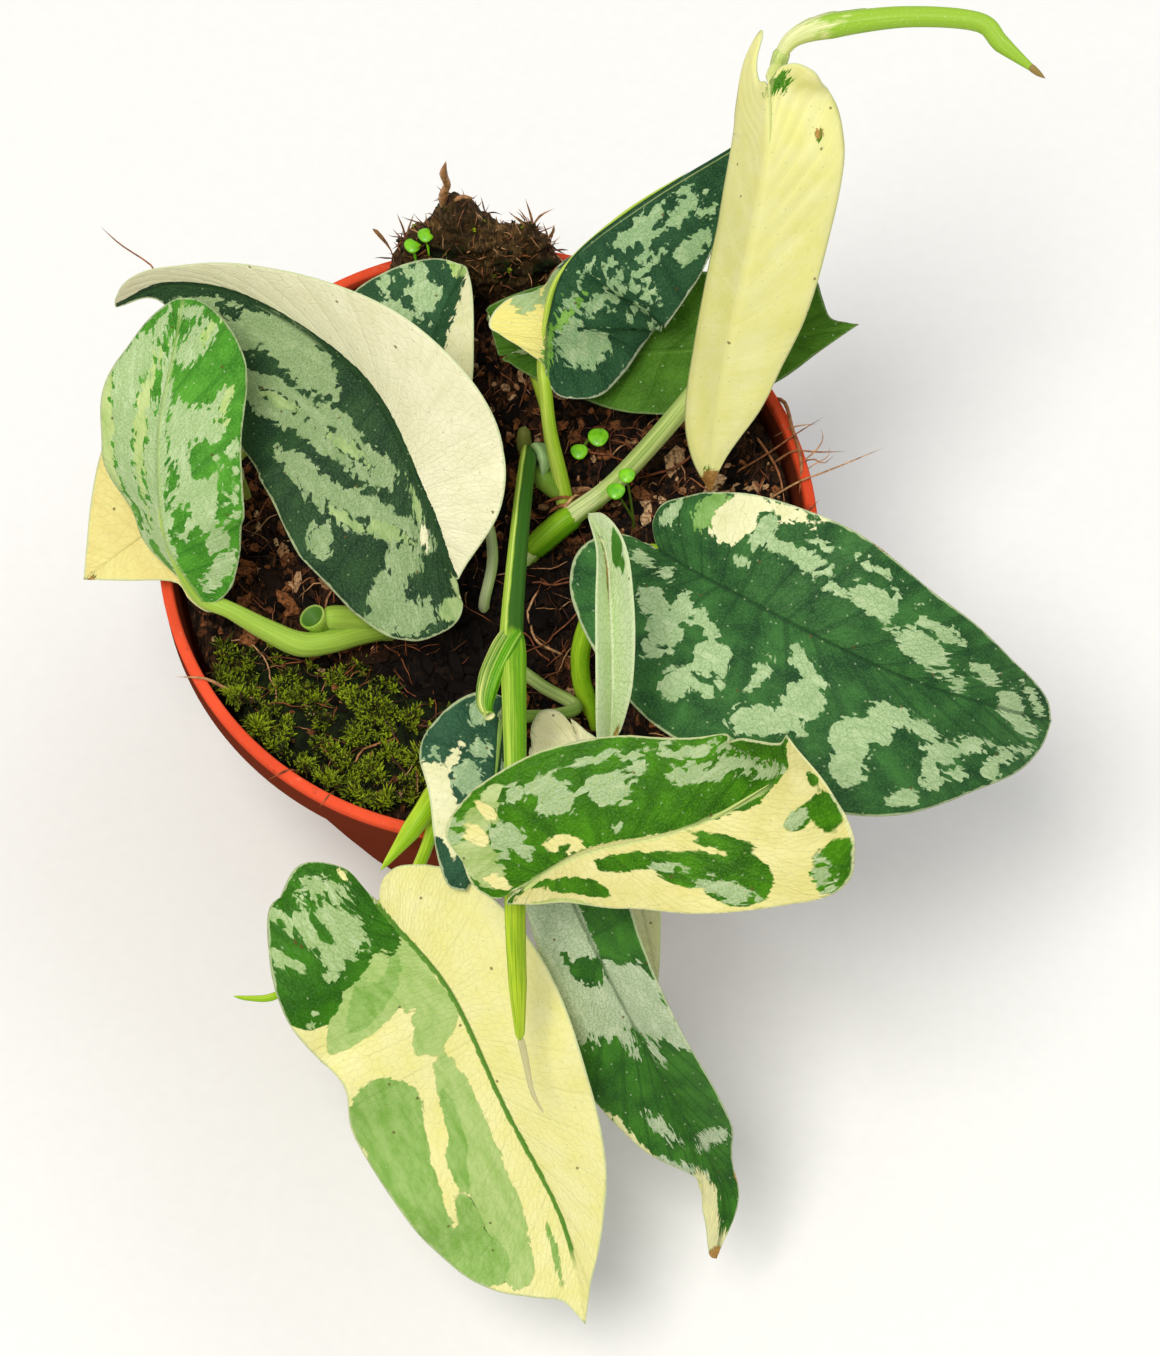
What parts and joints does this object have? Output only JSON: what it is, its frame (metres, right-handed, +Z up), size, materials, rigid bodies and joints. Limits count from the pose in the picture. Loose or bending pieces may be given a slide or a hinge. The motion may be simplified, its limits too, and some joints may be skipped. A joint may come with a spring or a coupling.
{
  "type": "potted satin pothos",
  "caption": "Variegated satin pothos with broad heart-shaped leaves, stalks and vines, rooted in soil in a thin round plastic nursery pot.",
  "frame": {"origin": "centre of the pot's flat underside, on the surface it stands on", "axes": "+Z up, -Y towards the side over which the front leaves and the front vine hang, +X to the right seen from that side"},
  "size_m": [0.2161, 0.2486, 0.201],
  "materials": {
    "pot_plastic": "thin moulded polypropylene, semi-matt",
    "potting_mix": "rough dark coir, bark and moss",
    "coir_clump": "rough mossy coir",
    "leaf_folded": "satin leaf, green and silver",
    "leaf_yellow": "satin leaf, cream yellow",
    "leaf_large_left": "satin leaf, half dark green and silver, half cream",
    "leaf_back": "satin leaf, dark green and silver",
    "leaf_back_centre": "satin leaf, dark green and silver with a cream half",
    "leaf_back_low": "glossy green leaf",
    "leaf_high_cream": "pale cream leaf",
    "leaf_large_right": "satin leaf, dark green and silver",
    "leaf_narrow": "pale satin leaf",
    "leaf_front_top": "satin leaf, green, silver and cream",
    "leaf_front_cream": "cream satin leaf",
    "leaf_front_small": "satin leaf, dark green and silver with a cream margin",
    "leaf_front_left": "satin leaf, half green and silver, half cream",
    "leaf_front_hanging": "satin leaf, dark green and silver",
    "vine_green": "smooth green stem",
    "vine_pale": "smooth pale green stem",
    "seedling_green": "smooth bright green leaf"
  },
  "bodies": {
    "root": {"pot": "pot_plastic", "soil": "potting_mix", "root_clump": "coir_clump", "left_folded": "leaf_folded", "left_yellow": "leaf_yellow", "left_large": "leaf_large_left", "left_back": "leaf_back", "back_centre": "leaf_back_centre", "back_low": "leaf_back_low", "high_cream": "leaf_high_cream", "right_large": "leaf_large_right", "centre_narrow": "leaf_narrow", "front_top": "leaf_front_top", "front_cream": "leaf_front_cream", "front_small": "leaf_front_small", "front_left": "leaf_front_left", "front_hanging": "leaf_front_hanging", "front_vine": "vine_green", "back_vine": "vine_pale", "seedling_centre": "seedling_green", "seedling_right": "seedling_green"}
  },
  "joints": []
}
